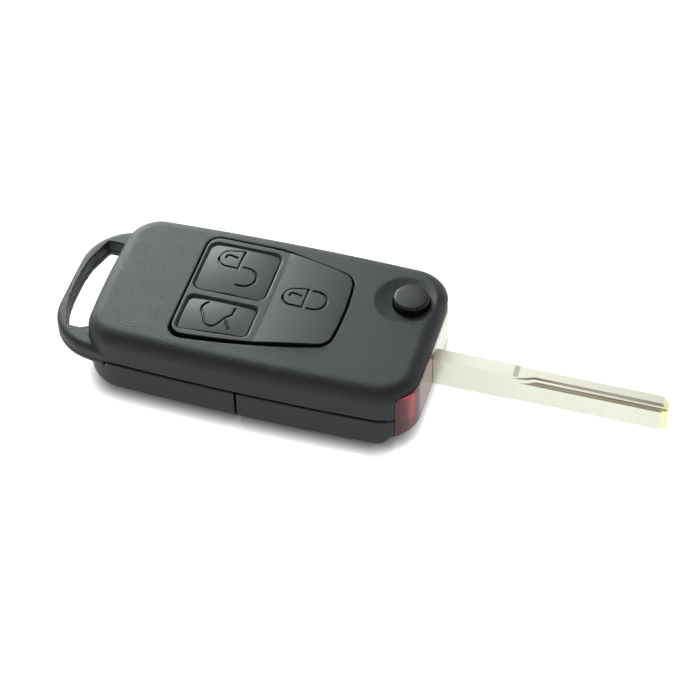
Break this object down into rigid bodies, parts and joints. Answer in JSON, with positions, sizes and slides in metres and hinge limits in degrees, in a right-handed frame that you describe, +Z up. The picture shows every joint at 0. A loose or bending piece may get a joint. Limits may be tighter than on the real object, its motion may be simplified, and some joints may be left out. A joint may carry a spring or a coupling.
{
  "type": "flip key remote shell",
  "caption": "Car remote shell with a key ring loop, three soft keys, a round release button and a key blade that swings out of its side.",
  "frame": {"origin": "middle of the case's plan, on the flat back face that it rests on", "axes": "+X towards the tip of the opened blade, +Y to the side that takes the folded blade, +Z up out of the keypad"},
  "size_m": [0.1231, 0.037, 0.0179],
  "materials": {
    "case_upper": "fine grained satin",
    "case_lower": "fine grained satin",
    "case_cover": "fine grained satin",
    "window": "clear tinted red",
    "keypad_frame": "smooth satin",
    "key_unlock": "smooth satin, engraved symbol",
    "key_trunk": "smooth satin, engraved symbol",
    "key_lock": "smooth satin, engraved symbol",
    "membrane": "matte",
    "button": "satin",
    "spring": "drawn wire",
    "hub": "satin, pale silver",
    "pivot_pin": "turned",
    "blade": "nickel plated, milled tracks",
    "blade_pin": "rolled",
    "screws": "zinc plated",
    "washer": "stamped",
    "contacts": "nickel plated strip"
  },
  "bodies": {
    "case": {"upper_case": "case_upper", "lower_case": "case_lower", "signal_window": "window", "keypad_frame": "keypad_frame", "keypad_membrane": "membrane", "pivot_pin": "pivot_pin", "thrust_washer": "washer", "case_screw_1": "screws", "case_screw_2": "screws", "contact_plus": "contacts", "contact_minus": "contacts"},
    "hub": {"flip_hub": "hub", "blade": "blade", "blade_pin": "blade_pin", "flip_spring": "spring"},
    "button": {"release_button": "button"},
    "unlock": {"key_unlock": "key_unlock"},
    "trunk": {"key_trunk": "key_trunk"},
    "lock": {"key_lock": "key_lock"},
    "cover": {"battery_cover": "case_cover"}
  },
  "joints": [
    {"name": "blade_flip", "type": "hinge", "parent": "case", "child": "hub", "pos_m": [0.02715, 0.00804, 0.0086], "axis": [0, 0, 1], "range_deg": [0, 180], "stiffness_Nm_per_rad": 0.004},
    {"name": "release_press", "type": "slide", "parent": "hub", "child": "button", "axis": [0, 0, -1], "range_m": [0, 0.0018], "stiffness_N_per_m": 400, "deforming": ["flip_spring"]},
    {"name": "unlock_press", "type": "slide", "parent": "case", "child": "unlock", "axis": [0, 0, -1], "range_m": [0, 0.00045], "stiffness_N_per_m": 3000, "deforming": ["keypad_membrane"]},
    {"name": "trunk_press", "type": "slide", "parent": "case", "child": "trunk", "axis": [0, 0, -1], "range_m": [0, 0.00045], "stiffness_N_per_m": 3000, "deforming": ["keypad_membrane"]},
    {"name": "lock_press", "type": "slide", "parent": "case", "child": "lock", "axis": [0, 0, -1], "range_m": [0, 0.00045], "stiffness_N_per_m": 3000, "deforming": ["keypad_membrane"]},
    {"name": "cover_lift", "type": "slide", "parent": "case", "child": "cover", "axis": [0, 0, -1], "range_m": [0, 0.009]}
  ]
}
